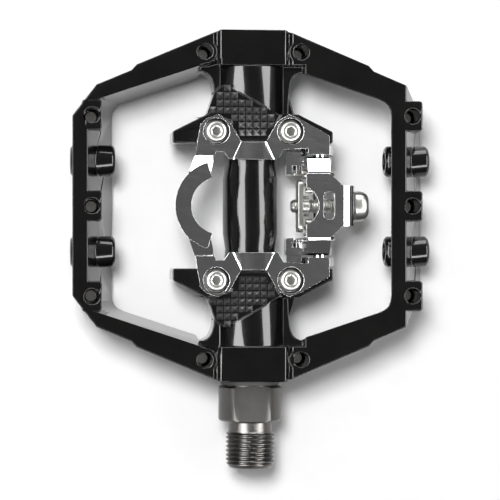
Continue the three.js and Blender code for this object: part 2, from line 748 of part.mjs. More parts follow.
// ---- rear claw ----
function claw() {
  const back = CLAW_BACK_X - 4;
  const sideEnd = JAW_X + CLAW_SIDE_L;
  const wide = CLAW_TOP_Y + 0.2;
  const narrow = JAW_HALF_Y + 0.4;
  const half = [[JAW_X, wide], [sideEnd, wide], [back, narrow], [back + 0.4, narrow]];
  const top = [...half.map(([x, y]) => [x, -y]), ...half.slice().reverse()];
  const rear = [
    [back, hookZ], [back + 0.9, hookZ - 0.4], [back + 1.9, hookZ - 1.6], [back + 2.3, hookZ - 3],
    [back + 2.3, boltZ - 4.8], [CLAW_BACK_X, boltZ - 4.8], [CLAW_BACK_X, hookZ - 2.6],
    [back + 3.4, hookZ - 0.4], [back + 1.9, hookTop - 0.5], [back, hookTop],
  ];
  const flange = bar("y", rear, -narrow, narrow);
  const trim = [
    [-narrow, hookTop + OVER], [-narrow, boltZ + OVER], [1.6 - narrow, 0], [narrow - 1.6, 0],
    [narrow, boltZ + OVER], [narrow, hookTop + OVER],
  ];
  const flangeTrim = bar("x", trim, back - OVER, CLAW_BACK_X + OVER);
  const jawR = (JAW_HALF_Y ** 2 + JAW_BITE ** 2) / (2 * JAW_BITE);
  const jaw = turned("z", [[hookZ - OVER, jawR], [hookTop + OVER, jawR]], 40);
  const slotX = JAW_X + JAW_BITE + 1.3;
  const slot = [[slotX, -4], [slotX + 3.2, -4], [slotX + 3.2, 4], [slotX, 4]];
  const boltHole = alongX([[back, BOLT_R + GAP], [CLAW_BACK_X + OVER, BOLT_R + GAP]], 0, boltZ, 20);
  const shaftHole = turned("y", [[-pivotHalf - OVER, PIVOT_R + FIT], [pivotHalf + OVER, PIVOT_R + FIT]]);
  const solidClaw = join([
    bar("z", top, hookZ, hookTop),
    flange.intersect(flangeTrim),
    ...SIDES.flatMap((side) => [clawCheek(side), clawEar(side)]),
  ]);
  return cut(solidClaw, [
    jaw.translate([JAW_X + JAW_BITE - jawR, 0, 0]),
    bar("z", slot, hookZ - OVER, hookTop + OVER, 1.5, 4),
    boltHole,
    shaftHole.translate([PIVOT_X, 0, pivotZ]),
  ]);
}

// The sloping cheek between the claw's top and its ear.
function clawCheek(side) {
  const foot = wingTop - 1.5;
  const section = [
    [CLAW_TOP_Y, hookZ], [CLAW_TOP_Y, hookTop], [CLAW_TOP_Y + 0.8, hookTop - 0.2],
    [earOut - 0.6, hookTop - 3.1], [earOut, foot + 2.2], [earOut, foot],
    [EAR_IN_Y, foot], [EAR_IN_Y, foot + 1.4],
  ].map(([y, z]) => [side * y, z]);
  return bar("x", side > 0 ? section.reverse() : section, JAW_X + 0.5, JAW_X + CLAW_SIDE_L + 0.2);
}

// The ear turns on the shaft; its tongue and two tabs reach forward over the frame's stop.
function clawEar(side) {
  const y = [side * EAR_IN_Y, side * earOut].sort((a, b) => a - b);
  const low = stopTop + GAP;
  const toeTop = pivotZ - 0.6;
  const toeX = JAW_X - 4.5;
  const neck = wingTop - 0.9;
  const plate = [
    [JAW_X + 0.5, neck], [JAW_X + 0.6, toeTop], [toeX, toeTop], [toeX, low], [toeX + 3.2, low],
    [PIVOT_X - 1, pivotZ - earR], [PIVOT_X + earR, pivotZ], [JAW_X + CLAW_SIDE_L + 0.2, neck],
  ];
  const round = turned("y", [[y[0], earR], [y[1], earR]]).translate([PIVOT_X, 0, pivotZ]);
  const tabY = [side * (EAR_IN_Y - 2.7), side * (EAR_IN_Y + 0.5)].sort((a, b) => a - b);
  const toe = box(toeX, toeX + 1.9, tabY[0], tabY[1], low, toeTop);
  const heel = box(toeX + 3.1, toeX + 4.7, tabY[0], tabY[1], toeTop - 1.8, toeTop);
  return join([bar("y", plate, y[0], y[1]), round, toe, heel]);
}

// ---- springs, tension bolt and plate ----
class SpringLine extends THREE.Curve {
  constructor(side) {
    super();
    this.side = side;
    this.legLow = PIVOT_X - JAW_X + 1.4;
    this.legHigh = PIVOT_X - (TENSION_X + TENSION_T + GAP);
    this.coil = SPRING_TURNS * 2 * Math.PI * springR;
    this.total = this.legLow + this.coil + this.legHigh;
  }

  getPoint(t) {
    const s = t * this.total;
    if (s < this.legLow) return this.at(0, s - this.legLow);
    if (s > this.legLow + this.coil) return this.at(1, s - this.legLow - this.coil);
    return this.at((s - this.legLow) / this.coil, 0);
  }

  // The wire comes in along +X under the shaft, winds round it and leaves along -X above it.
  at(f, straight) {
    const turn = -Math.PI / 2 + f * SPRING_TURNS * 2 * Math.PI;
    const y = springOut + (SPRING_IN_Y - springOut) * f;
    const x = PIVOT_X + springR * Math.cos(turn) - Math.sin(turn) * straight;
    const z = pivotZ + springR * Math.sin(turn) + Math.cos(turn) * straight;
    return new THREE.Vector3(x, this.side * y, z);
  }
}

function spring(side) {
  const section = new THREE.Shape();
  section.absarc(0, 0, WIRE_R, 0, 2 * Math.PI, false);
  const geometry = new THREE.ExtrudeGeometry(section, {
    steps: 48,
    extrudePath: new SpringLine(side),
    bevelEnabled: false,
    curveSegments: 3,
  });
  const body = solid(geometry);
  return body.volume() < 0 ? flipped(geometry) : body;
}

function tensionBolt() {
  const head = CLAW_BACK_X + GAP;
  const rim = head + BOLT_HEAD_RIM;
  const dome = [0.35, 0.7, 1].map((f) => [
    rim + BOLT_HEAD_DOME * f,
    BOLT_HEAD_R * Math.sqrt(1 - 0.75 * f * f),
  ]);
  const shape = alongX([
    [BOLT_TIP_X, BOLT_R - 0.6],
    [BOLT_TIP_X + 0.6, BOLT_R],
    [head, BOLT_R],
    [head, BOLT_HEAD_R - 0.3],
    [head + 0.3, BOLT_HEAD_R],
    [rim, BOLT_HEAD_R],
    ...dome,
  ], 0, boltZ, 24);
  const end = rim + BOLT_HEAD_DOME;
  const socket = bar("x", hexagon(BOLT_SOCKET_AF), end - 2, end + OVER);
  return shape.subtract(socket.translate([0, 0, boltZ]));
}

function tensionPlate() {
  const w = TENSION_HALF_Y;
  const low = boltZ - TENSION_DOWN;
  const high = boltZ + TENSION_UP;
  const end = TENSION_X + TENSION_T;
  const bossEnd = end + TENSION_BOSS_L;
  const bossR = BOLT_R + TENSION_WALL;
  const plate = bar("x", [[-w, low], [w, low], [w, high], [-w, high]], TENSION_X, end, 2.4, 4);
  const boss = alongX([[end - 0.5, bossR], [bossEnd, bossR]], 0, boltZ, 20);
  const r = BOLT_R + FIT;
  const hole = alongX([[TENSION_X - OVER, r], [bossEnd + OVER, r]], 0, boltZ, 24);
  return plate.add(boss).subtract(hole);
}

function pivotShaft() {
  const c = 0.4;
  return turned("y", [
    [-pivotHalf, PIVOT_R - c], [c - pivotHalf, PIVOT_R],
    [pivotHalf - c, PIVOT_R], [pivotHalf, PIVOT_R - c],
  ]);
}

// Pins stand point-down, out of the flat face, each with a hex socket in its outer end.
function tractionPin() {
  const tip = -HALF_HEIGHT - PIN_PROUD;
  const shape = turned("z", [
    [tip, PIN_R - 0.3], [tip + 0.3, PIN_R], [tip + PIN_LENGTH, PIN_R],
  ], 16);
  return shape.subtract(bar("z", hexagon(PIN_SOCKET_AF), tip - OVER, tip + 2));
}

// ---- finishes ----
const FINISH = {
  gloss_black: { color: 0x1d1d1b, roughness: 0.25, metalness: 0.1 },
  chrome: { color: 0xd8d8d6, roughness: 0.08, metalness: 1 },
  nickel: { color: 0xcfccc4, roughness: 0.2, metalness: 1 },
  zinc: { color: 0xc9cac4, roughness: 0.4, metalness: 0.9 },
  gunmetal: { color: 0x3a3a3c, roughness: 0.35, metalness: 0.9 },
  steel: { color: 0xa9abae, roughness: 0.3, metalness: 1 },
  bronze: { color: 0x9b7a4a, roughness: 0.5, metalness: 0.8 },
  rubber: { color: 0x161616, roughness: 0.8, metalness: 0 },
  plastic: { color: 0x202020, roughness: 0.5, metalness: 0 },
};

const pedal = new THREE.Group();
const hubCentre = new THREE.Group();
hubCentre.position.y = -spindleEnd;
pedal.add(hubCentre);

function add(name, body, finish, position = [0, 0, 0]) {
  const { vertProperties, triVerts } = body.asOriginal().simplify(0.001).getMesh();
  const geometry = new THREE.BufferGeometry();
  geometry.setAttribute("position", new THREE.BufferAttribute(vertProperties, 3));
  geometry.setIndex(new THREE.BufferAttribute(triVerts, 1));
  geometry.computeVertexNormals();
  const mesh = new THREE.Mesh(geometry, new THREE.MeshStandardMaterial(FINISH[finish]));
  mesh.name = name;
  mesh.position.set(...position);
  hubCentre.add(mesh);
}

add("pedal_body", pedalBody(), "gloss_black");
add("spindle", spindle(), "gunmetal");
add("inboard_seal", ring("y", sealR - SEAL_T, sealR, collarOut, sealPocket - GAP), "rubber");
add("inboard_bush", ring(
  "y", BUSH_JOURNAL_R + FIT, BUSH_JOURNAL_R + BUSH_WALL + FIT, bushStart, bushEnd
), "bronze");
add("bearing_outer_race", ring(
  "y", raceOutR - RACE_T, raceOutR, bearingAt, bearingAt + BEARING_W
), "steel");
add("bearing_inner_race", ring(
  "y", raceInR, raceInR + RACE_T, bearingAt, bearingAt + BEARING_W
), "steel");
add("bearing_ball_cage", ballCage(), "steel");
add("lock_washer", ring(
  "y", BEARING_JOURNAL_R + FIT, BEARING_JOURNAL_R + WASHER_WALL, washerStart, washerStart + WASHER_T
), "steel");
add("lock_nut", lockNut(), "steel");
add("end_cap", endCap(), "plastic");
add("end_cap_o_ring", oRing(), "rubber");
add("binding_frame", bindingFrame(), "chrome");
CORNERS.forEach(([sx, sy], i) => {
  add(`binding_screw_${i + 1}`, bindingScrew(), "zinc", [sx * SCREW_X, sy * SCREW_Y, 0]);
});
add("pivot_shaft", pivotShaft(), "chrome", [PIVOT_X, 0, pivotZ]);
add("rear_claw", claw(), "chrome");
add("spring_outboard", spring(1), "nickel");
add("spring_inboard", spring(-1), "nickel");
add("tension_bolt", tensionBolt(), "zinc");
add("tension_plate", tensionPlate(), "zinc");
pinSpots.forEach(([x, y], i) => {
  add(`traction_pin_${i + 1}`, tractionPin(), "nickel", [x, y, 0]);
});

export default pedal;
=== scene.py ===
# %% [markdown]
# # A dual-sided bicycle pedal
#
# The real pedal is a forged aluminium cage that turns on a steel spindle. One face takes a shoe cleat
# in a sprung, plated binding; the other carries small grub screws that grip a plain sole. The frame
# that is loaded here already has every solid piece in its true place and size. What follows gives each
# piece its finish, rounds the edges that a real casting has, and models what was too fine for the
# frame: knurling, screw threads, hex sockets and wound springs.

# %% Load the frame
import json
import math

import bmesh
import bpy
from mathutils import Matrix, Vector


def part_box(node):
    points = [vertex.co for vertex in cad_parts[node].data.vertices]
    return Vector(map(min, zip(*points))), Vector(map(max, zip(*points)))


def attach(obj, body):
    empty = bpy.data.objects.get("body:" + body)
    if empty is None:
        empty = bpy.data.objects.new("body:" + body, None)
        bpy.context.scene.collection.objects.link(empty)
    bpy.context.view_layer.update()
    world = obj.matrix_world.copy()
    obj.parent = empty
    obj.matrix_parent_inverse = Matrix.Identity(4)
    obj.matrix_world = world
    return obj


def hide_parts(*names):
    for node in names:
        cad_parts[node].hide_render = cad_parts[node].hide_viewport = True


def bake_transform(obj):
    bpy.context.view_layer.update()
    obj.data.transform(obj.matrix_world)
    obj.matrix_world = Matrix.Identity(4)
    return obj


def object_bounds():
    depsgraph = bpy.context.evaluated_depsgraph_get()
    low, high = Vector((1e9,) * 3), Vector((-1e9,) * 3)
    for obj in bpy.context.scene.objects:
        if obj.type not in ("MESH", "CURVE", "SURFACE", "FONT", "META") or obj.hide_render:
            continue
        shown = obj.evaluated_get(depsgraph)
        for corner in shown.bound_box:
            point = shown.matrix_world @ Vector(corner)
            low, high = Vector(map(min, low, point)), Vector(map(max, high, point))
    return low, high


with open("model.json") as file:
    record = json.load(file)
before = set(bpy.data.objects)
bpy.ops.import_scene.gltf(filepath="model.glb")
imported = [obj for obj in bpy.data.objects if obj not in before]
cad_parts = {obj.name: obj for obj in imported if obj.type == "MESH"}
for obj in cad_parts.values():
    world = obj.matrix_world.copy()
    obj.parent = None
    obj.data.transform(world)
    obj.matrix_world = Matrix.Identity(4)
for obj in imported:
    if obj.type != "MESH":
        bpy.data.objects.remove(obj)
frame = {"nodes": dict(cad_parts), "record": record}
frame_low, frame_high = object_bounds()
nodes = frame["nodes"]
MM = 0.001
print("pieces in the frame:", len(nodes))

# %% [markdown]
# Nearly everything on the pedal is laid out from the middle of its hub, where the spindle's axis
# crosses the cage's centre line. It is simplest to work in millimetres from that point and to turn
# them into the frame's metres in one place.

# %% The hub centre
body_low, body_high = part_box("pedal_body")
HUB_Y = (body_low.y + body_high.y) / 2


def at(x, y, z):
    """A place in millimetres from the hub centre, as a point of the frame."""
    return Vector((x * MM, HUB_Y + y * MM, z * MM))


print("hub centre along the spindle, mm:", round(HUB_Y / MM, 2))

# %% [markdown]
# ## Camera
#
# The pedal is looked at from straight above, from about 700 mm, a little to the side of the hub, so
# that the walls of the side bars just show. A long lens keeps the cage's edges parallel. The camera
# could be turned with a constraint, but a plain rotation is easier to read and to change.

# %% Camera
CAMERA_HEIGHT = 700
CAMERA_SIDE = -62
VIEW_WIDTH = 146

middle = (frame_low + frame_high) / 2
camera_data = bpy.data.cameras.new("camera")
camera = bpy.data.objects.new("camera", camera_data)
bpy.context.scene.collection.objects.link(camera)
camera.location = (CAMERA_SIDE * MM, middle.y, CAMERA_HEIGHT * MM)
aim = Vector((0.0, middle.y, 0.0)) - camera.location
camera.rotation_euler = (0.0, -math.atan2(aim.x, -aim.z), 0.0)
camera_data.sensor_width = 36
camera_data.lens = 36 * aim.length / (VIEW_WIDTH * MM)
camera_data.clip_start = 0.01
camera_data.clip_end = 20
bpy.context.scene.camera = camera
print("lens, mm:", round(camera_data.lens))

# %% [markdown]
# ## Light
#
# Gloss black and chrome show hardly any colour of their own: they show the room. Two long soft boxes,
# left and right, draw the pair of narrow highlights along every round piece. They are kept out of
# the diffuse light, so that they can be bright without washing out the floor. A low card beyond the
# outboard end brightens the slopes that face it, and a narrow one at the crank's end gives the slopes
# on that side a little. One lamp, high up and to the upper left, does the opposite: it lights the
# floor and throws one short soft shadow, and it is kept out of the reflections, so that flat faces
# turned up stay deep black.

# %% Soft boxes
def soft_box(name, place, width, length, power, in_reflections):
    """A rectangular lamp aimed at the hub, seen either in reflections only or in plain light only."""
    lamp = bpy.data.lights.new(name, "AREA")
    lamp.shape = "RECTANGLE"
    lamp.size = length
    lamp.size_y = width
    lamp.energy = power
    lamp_object = bpy.data.objects.new(name, lamp)
    bpy.context.scene.collection.objects.link(lamp_object)
    lamp_object.location = place
    aim_at = Vector((0.0, HUB_Y, 0.0)) - lamp_object.location
    lamp_object.rotation_euler = aim_at.to_track_quat("-Z", "Y").to_euler()
    lamp_object.visible_camera = False
    lamp_object.visible_diffuse = not in_reflections
    lamp_object.visible_glossy = in_reflections
    print(name, "power, W:", power)


soft_box("left_soft_box", (-0.46, HUB_Y + 0.08, 0.55), 0.38, 1.0, 20, True)
soft_box("right_soft_box", (0.55, HUB_Y + 0.02, 0.49), 0.34, 1.0, 15, True)
soft_box("far_card", (0.0, HUB_Y + 0.75, 0.20), 0.45, 0.8, 9, True)
soft_box("near_card", (0.0, HUB_Y - 0.42, 0.58), 0.16, 0.8, 6, True)
soft_box("shadow_lamp", (-0.20, HUB_Y + 0.24, 1.0), 0.30, 0.30, 10.5, False)

# %% [markdown]
# The room itself is a world colour: pale at the horizon, dark at the zenith, and dimmer towards the
# crank's side. A colour ramp over the direction's vertical part and a map range over its part along
# the spindle do it. Round the zenith is a slightly paler ring, so that flat plated sheet isn't one
# even grey.

# %% Room
room = bpy.data.worlds.new("studio")
bpy.context.scene.world = room
room.use_nodes = True
room_nodes = room.node_tree.nodes
room_links = room.node_tree.links
room_nodes.clear()
direction = room_nodes.new("ShaderNodeTexCoord")
height = room_nodes.new("ShaderNodeSeparateXYZ")
shade = room_nodes.new("ShaderNodeValToRGB")
backdrop = room_nodes.new("ShaderNodeBackground")
room_out = room_nodes.new("ShaderNodeOutputWorld")
room_links.new(direction.outputs["Generated"], height.inputs[0])
room_links.new(height.outputs["Z"], shade.inputs["Fac"])
length_shade = room_nodes.new("ShaderNodeMapRange")
length_shade.inputs["From Min"].default_value = -0.7
length_shade.inputs["From Max"].default_value = 0.3
length_shade.inputs["To Min"].default_value = 0.3
room_links.new(height.outputs["Y"], length_shade.inputs["Value"])
room_links.new(length_shade.outputs["Result"], backdrop.inputs["Strength"])
room_links.new(shade.outputs["Color"], backdrop.inputs["Color"])
room_links.new(backdrop.outputs["Background"], room_out.inputs["Surface"])
ROOM_TONES = [(0.0, 0.42), (0.35, 0.36), (0.75, 0.24), (0.95, 0.16), (0.985, 0.21), (1.0, 0.14)]
steps = shade.color_ramp.elements
horizon, zenith = ROOM_TONES[0][1], ROOM_TONES[-1][1]
steps[0].color = (horizon, horizon, horizon, 1)
steps[1].color = (zenith, zenith, zenith, 1)
for place, tone in ROOM_TONES[1:-1]:
    steps.new(place).color = (tone, tone, tone, 1)
bpy.context.scene.view_settings.view_transform = "Standard"
print("room tones:", len(steps))

# %% [markdown]
# The floor is a plain pale sheet that the grub screws' points just touch. It has the faintest mottle,
# as paper has, and is far larger than the pedal so that its edge never shows.

# %% Floor
FLOOR_HALF = 1.6
FLOOR_GAP = 0.0001


def flat_floor(z):
    """One square sheet, centred below the hub."""
    mesh = bpy.data.meshes.new("floor")
    corners = [(-1, -1), (1, -1), (1, 1), (-1, 1)]
    points = [(sx * FLOOR_HALF, sy * FLOOR_HALF + HUB_Y, z) for sx, sy in corners]
    mesh.from_pydata(points, [], [(0, 1, 2, 3)])
    sheet = bpy.data.objects.new("floor", mesh)
    bpy.context.scene.collection.objects.link(sheet)
    return sheet


floor = flat_floor(frame_low.z - FLOOR_GAP)
print("floor height, mm:", round(frame_low.z / MM, 2))

# %% [markdown]
# ## Finishes
#
# Every finish here is the same short chain: a broad noise shifts the colour a little, a fine noise
# shifts the gloss, and a relief gives the surface its tiny bumps. What differs is the relief. Paint
# has soft orange peel, turned steel has rings round its axis, plated sheet has faint rolling marks,
# sintered bronze has pores. One function builds the chain, and a relief can be asked for by name.

# %% The relief textures
def relief_texture(tree, relief, scale, vector):
    """A texture node whose height is wanted, and the socket that gives it."""
    if relief == "pores":
        texture = tree.nodes.new("ShaderNodeTexVoronoi")
        texture.inputs["Scale"].default_value = scale
        tree.links.new(vector, texture.inputs["Vector"])
        return texture.outputs["Distance"]
    if relief == "rings":
        texture = tree.nodes.new("ShaderNodeTexWave")
        texture.bands_direction = "Y"
        texture.inputs["Scale"].default_value = scale
        texture.inputs["Distortion"].default_value = 1.5
        texture.inputs["Detail"].default_value = 3
        tree.links.new(vector, texture.inputs["Vector"])
        return texture.outputs["Fac"]
    texture = tree.nodes.new("ShaderNodeTexNoise")
    texture.inputs["Scale"].default_value = scale
    texture.inputs["Detail"].default_value = 4
    tree.links.new(vector, texture.inputs["Vector"])
    return texture.outputs["Fac"]


# %% The finish chain
CLOUD_SCALE = 90
BUMP_DEPTH = 0.0002


def finish(name, dark, light, rough, relief, scale, bump, metal=0.0, stretch=(1, 1, 1)):
    """A material and its shader: colour from dark to light, roughness between rough's two values."""
    material = bpy.data.materials.new(name)
    material.use_nodes = True
    tree = material.node_tree
    shader = tree.nodes["Principled BSDF"]
    shader.inputs["Metallic"].default_value = metal
    place = tree.nodes.new("ShaderNodeTexCoord")
    stretched = tree.nodes.new("ShaderNodeMapping")
    stretched.inputs["Scale"].default_value = stretch
    tree.links.new(place.outputs["Object"], stretched.inputs["Vector"])
    cloud = tree.nodes.new("ShaderNodeTexNoise")
    cloud.inputs["Scale"].default_value = CLOUD_SCALE
    cloud.inputs["Detail"].default_value = 6
    tree.links.new(place.outputs["Object"], cloud.inputs["Vector"])
    tint = tree.nodes.new("ShaderNodeValToRGB")
    tint.color_ramp.elements[0].position = 0.3
    tint.color_ramp.elements[0].color = (*dark, 1)
    tint.color_ramp.elements[1].position = 0.7
    tint.color_ramp.elements[1].color = (*light, 1)
    tree.links.new(cloud.outputs["Fac"], tint.inputs["Fac"])
    tree.links.new(tint.outputs["Color"], shader.inputs["Base Color"])
    grain = relief_texture(tree, relief, scale, stretched.outputs["Vector"])
    gloss = tree.nodes.new("ShaderNodeMapRange")
    gloss.inputs["To Min"].default_value = rough[0]
    gloss.inputs["To Max"].default_value = rough[1]
    tree.links.new(grain, gloss.inputs["Value"])
    tree.links.new(gloss.outputs["Result"], shader.inputs["Roughness"])
    bumps = tree.nodes.new("ShaderNodeBump")
    bumps.inputs["Strength"].default_value = bump
    bumps.inputs["Distance"].default_value = BUMP_DEPTH
    tree.links.new(grain, bumps.inputs["Height"])
    tree.links.new(bumps.outputs["Normal"], shader.inputs["Normal"])
    return material, shader


# %% [markdown]
# The cage is painted: a nearly black base under a hard clear coat. The clear coat is what gives the
# sharp highlights, so the base can stay a little rough below it.

# %% Cage paint
cage_paint, shader = finish(
    "cage_gloss_black", (0.0035, 0.0035, 0.0035), (0.0065, 0.0065, 0.0062), (0.16, 0.26),
    "noise", 1400, 0.05,
)
shader.inputs["Specular IOR Level"].default_value = 0.12
shader.inputs["Coat Weight"].default_value = 0.6
shader.inputs["Coat Roughness"].default_value = 0.05
shader.inputs["Coat IOR"].default_value = 1.45

# %% [markdown]
# Metals need no coat. Chrome is smooth sheet with only a breath of rolling marks; nickel and zinc are
# duller; the spindle is blackened steel with the rings that the lathe leaves.

# %% Metals
spindle_metal, _ = finish(
    "spindle_gunmetal", (0.065, 0.063, 0.061), (0.100, 0.097, 0.092), (0.24, 0.36),
    "rings", 2200, 0.10, metal=1.0,
)
chrome, _ = finish(
    "binding_chrome", (0.66, 0.66, 0.67), (0.74, 0.74, 0.745), (0.05, 0.12), "noise", 150, 0.45, metal=1.0,
    stretch=(1, 2.5, 1),
)
spring_wire, _ = finish(
    "spring_wire", (0.60, 0.58, 0.55), (0.74, 0.72, 0.68), (0.14, 0.24), "noise", 1500, 0.10, metal=1.0
)
nickel, _ = finish(
    "pin_nickel", (0.62, 0.60, 0.56), (0.74, 0.72, 0.68), (0.16, 0.28), "noise", 2600, 0.12, metal=1.0
)
zinc, _ = finish(
    "screw_zinc", (0.28, 0.28, 0.265), (0.39, 0.39, 0.37), (0.26, 0.34), "noise", 2400, 0.22, metal=0.92
)
bearing_steel, _ = finish(
    "bearing_steel", (0.46, 0.47, 0.48), (0.58, 0.59, 0.60), (0.18, 0.30), "rings", 2600, 0.10, metal=1.0
)
bronze, _ = finish(
    "bush_bronze", (0.36, 0.22, 0.09), (0.50, 0.33, 0.15), (0.36, 0.52), "pores", 2600, 0.25, metal=1.0
)

# %% [markdown]
# The seal is matt rubber and the end cap is moulded plastic. Both are black, but they scatter light
# widely, and the cap has the fine pebbled skin that a spark-eroded mould gives.

# %% Rubber and plastic
rubber, _ = finish(
    "seal_rubber", (0.008, 0.008, 0.008), (0.014, 0.014, 0.013), (0.62, 0.80), "noise", 3000, 0.35
)
plastic, _ = finish(
    "cap_plastic", (0.010, 0.010, 0.010), (0.016, 0.016, 0.016), (0.40, 0.55), "pores", 3400, 0.30
)
paper, _ = finish("floor_paper", (0.90, 0.90, 0.90), (0.92, 0.92, 0.92), (0.7, 0.85), "noise", 300, 0.02)
floor.data.materials.append(paper)

# %% [markdown]
# The knurl is the same paint as the cage, sprayed thinner over sharp points, so it looks more satin.

# %% Knurl paint
knurl_paint, shader = finish(
    "knurl_satin_black", (0.005, 0.005, 0.005), (0.010, 0.010, 0.010), (0.26, 0.36), "noise", 1800, 0.10
)
shader.inputs["IOR"].default_value = 1.7
shader.inputs["Coat Weight"].default_value = 0.6
shader.inputs["Coat Roughness"].default_value = 0.22

# %% [markdown]
# Each piece's record names the finish that it wears, by a slot. A table from slot to material dresses
# every piece of the frame at once, the hidden ones inside the hub included.

# %% Dress the frame
FINISHES = {
    "cage_black": cage_paint,
    "spindle_gunmetal": spindle_metal,
    "binding_chrome": chrome,
    "spring_steel": spring_wire,
    "pin_nickel": nickel,
    "screw_zinc": zinc,
    "bearing_steel": bearing_steel,
    "bush_bronze": bronze,
    "seal_rubber": rubber,
    "cap_plastic": plastic,
}
for entry in frame["record"]["subparts"]:
    node = nodes[entry["node"]]
    node.data.materials.clear()
    node.data.materials.append(FINISHES[entry["material_slot"]])
print("finishes:", len(FINISHES))

# %% [markdown]
# ## Edges
#
# No forged or pressed part has a knife edge, and it is the narrow rounded edges that catch the light
# and draw the shape. A stack of modifiers rounds them without touching the frame's meshes: weld the
# split vertices, merge flat triangles into whole faces, bevel what is left, then weight the normals
# so that the big faces stay flat. The bevel's own guard against overlaps is off, because one short
# edge would shrink the rounding of a whole piece. A last modifier holds each piece inside its box
# instead. The cage keeps its triangles: its large merged faces would fold over at the bevel.

# %% Hold a piece inside its box
def keep_within(node):
    """Holds the rounded shape inside the box of the node's own mesh, so that no dimension grows."""
    corners = [vertex.co for vertex in node.data.vertices]
    low = [min(corner[i] for corner in corners) for i in range(3)]
    high = [max(corner[i] for corner in corners) for i in range(3)]
    tree = bpy.data.node_groups.new(f"{node.name}_box", "GeometryNodeTree")
    tree.interface.new_socket("Geometry", in_out="INPUT", socket_type="NodeSocketGeometry")
    tree.interface.new_socket("Geometry", in_out="OUTPUT", socket_type="NodeSocketGeometry")
    shape_in = tree.nodes.new("NodeGroupInput")
    shape_out = tree.nodes.new("NodeGroupOutput")
    place = tree.nodes.new("GeometryNodeInputPosition")
    raised = tree.nodes.new("ShaderNodeVectorMath")
    raised.operation = "MAXIMUM"
    raised.inputs[1].default_value = low
    lowered = tree.nodes.new("ShaderNodeVectorMath")
    lowered.operation = "MINIMUM"
    lowered.inputs[1].default_value = high
    move = tree.nodes.new("GeometryNodeSetPosition")
    tree.links.new(place.outputs["Position"], raised.inputs[0])
    tree.links.new(raised.outputs["Vector"], lowered.inputs[0])
    tree.links.new(lowered.outputs["Vector"], move.inputs["Position"])
    tree.links.new(shape_in.outputs["Geometry"], move.inputs["Geometry"])
    tree.links.new(move.outputs["Geometry"], shape_out.inputs["Geometry"])
    box = node.modifiers.new("box", "NODES")
    box.node_group = tree


# %% Round the edges of the solid pieces
FLAT_WITHIN = 1.5


def soften(node, width, corner=30, join=0.03, merge_flat=True):
    """Rounds edges by a width in mm where faces turn by more than corner degrees.

    Points closer than join, in mm, are welded first.
    """
    for polygon in node.data.polygons:
        polygon.use_smooth = True
    weld = node.modifiers.new("weld", "WELD")
    weld.merge_threshold = join * MM
    if merge_flat:
        merge = node.modifiers.new("merge_flat", "DECIMATE")
        merge.decimate_type = "DISSOLVE"
        merge.angle_limit = math.radians(FLAT_WITHIN)
    bevel = node.modifiers.new("edges", "BEVEL")
    bevel.width = width * MM
    bevel.segments = 2
    bevel.limit_method = "ANGLE"
    bevel.angle_limit = math.radians(corner)
    bevel.use_clamp_overlap = False
    keep_within(node)
    normals = node.modifiers.new("normals", "WEIGHTED_NORMAL")
    normals.weight = 100


EDGE_WIDTHS = {
    "pedal_body": 0.32,
    "tension_plate": 0.2,
    "pivot_shaft": 0.12,
    "inboard_seal": 0.2,
    "end_cap": 0.2,
    "lock_nut": 0.2,
    "lock_washer": 0.1,
    "inboard_bush": 0.1,
    "bearing_inner_race": 0.1,
    "bearing_outer_race": 0.1,
    "bearing_ball_cage": 0.03,
    "end_cap_o_ring": 0.05,
}
for name, width in EDGE_WIDTHS.items():
    soften(nodes[name], width, merge_flat=name != "pedal_body")
print("pieces with rounded edges:", len(EDGE_WIDTHS))

# %% [markdown]
# The plated sheet is bent by small angles, at the dipped bridges and behind the claw. Left to the
# weighted normals alone, such a bend would shade away to nothing, so here the bevel also takes every
# edge down to 17 degrees. It is very narrow, because a wide one on mirror-bright sheet draws a white
# outline.

# %% Round the bends of the plated sheet
PLATE_EDGE = 0.04
PLATE_CORNER = 17
PLATE_JOIN = 0.002
for name in ("binding_frame", "rear_claw"):
    soften(nodes[name], PLATE_EDGE, corner=PLATE_CORNER, join=PLATE_JOIN)
print("plated edge width, mm:", PLATE_EDGE)

# %% [markdown]
# ## Knurled pads
#
# Beside the binding, the cage has two pads cut into rows of small pyramids, and two more on the flat
# face. They could be a bump in the paint, but the points catch light one by one and break the
# outline, so each is a real frustum, laid on a square grid inside the pad's outline.

# %% Knurl grid
PYRAMID_PITCH = 2.12
PYRAMID_HALF = 0.98
PYRAMID_TIP = 0.16
PYRAMID_HEIGHT = 0.8
PAD_FACE = 9.6
PAD_MARGIN = 0.55
PAD_OUTLINE = [
    (-8.2, 35.1),
    (-11, 33.1),
    (-13.2, 26.7),
    (-6.4, 24.6),
    (-3.4, 18.8),
    (3.6, 18.8),
    (8.1, 26.1),
]
PAD_EDGES = list(zip(PAD_OUTLINE, PAD_OUTLINE[1:] + PAD_OUTLINE[:1]))


def edge_distance(point, a, b):
    """The distance from a point to the edge from a to b, in millimetres."""
    start, edge = Vector(a), Vector(b) - Vector(a)
    along = max(0, min(1, (Vector(point) - start).dot(edge) / edge.length_squared))
    return (Vector(point) - start - edge * along).length


def inside_pad(x, y, margin):
    """Whether a point is inside the outline, and further than the margin from its edges."""
    crossings = 0
    for (ax, ay), (bx, by) in PAD_EDGES:
        if (ay > y) != (by > y) and x < ax + (y - ay) * (bx - ax) / (by - ay):
            crossings += 1
    return crossings % 2 == 1 and all(edge_distance((x, y), a, b) > margin for a, b in PAD_EDGES)


def pad_spots():
    """The grid's points that fall on the pad."""
    found = []
    for i in range(-8, 8):
        for j in range(6, 20):
            x, y = (i + 0.5) * PYRAMID_PITCH, j * PYRAMID_PITCH
            if inside_pad(x, y, PAD_MARGIN):
                found.append((x, y))
    return found


spots = pad_spots()
print("pyramids on one pad:", len(spots))


# %% Knurled pads
RING = [(-1, -1), (1, -1), (1, 1), (-1, 1)]
PYRAMID_SINK = 0.03


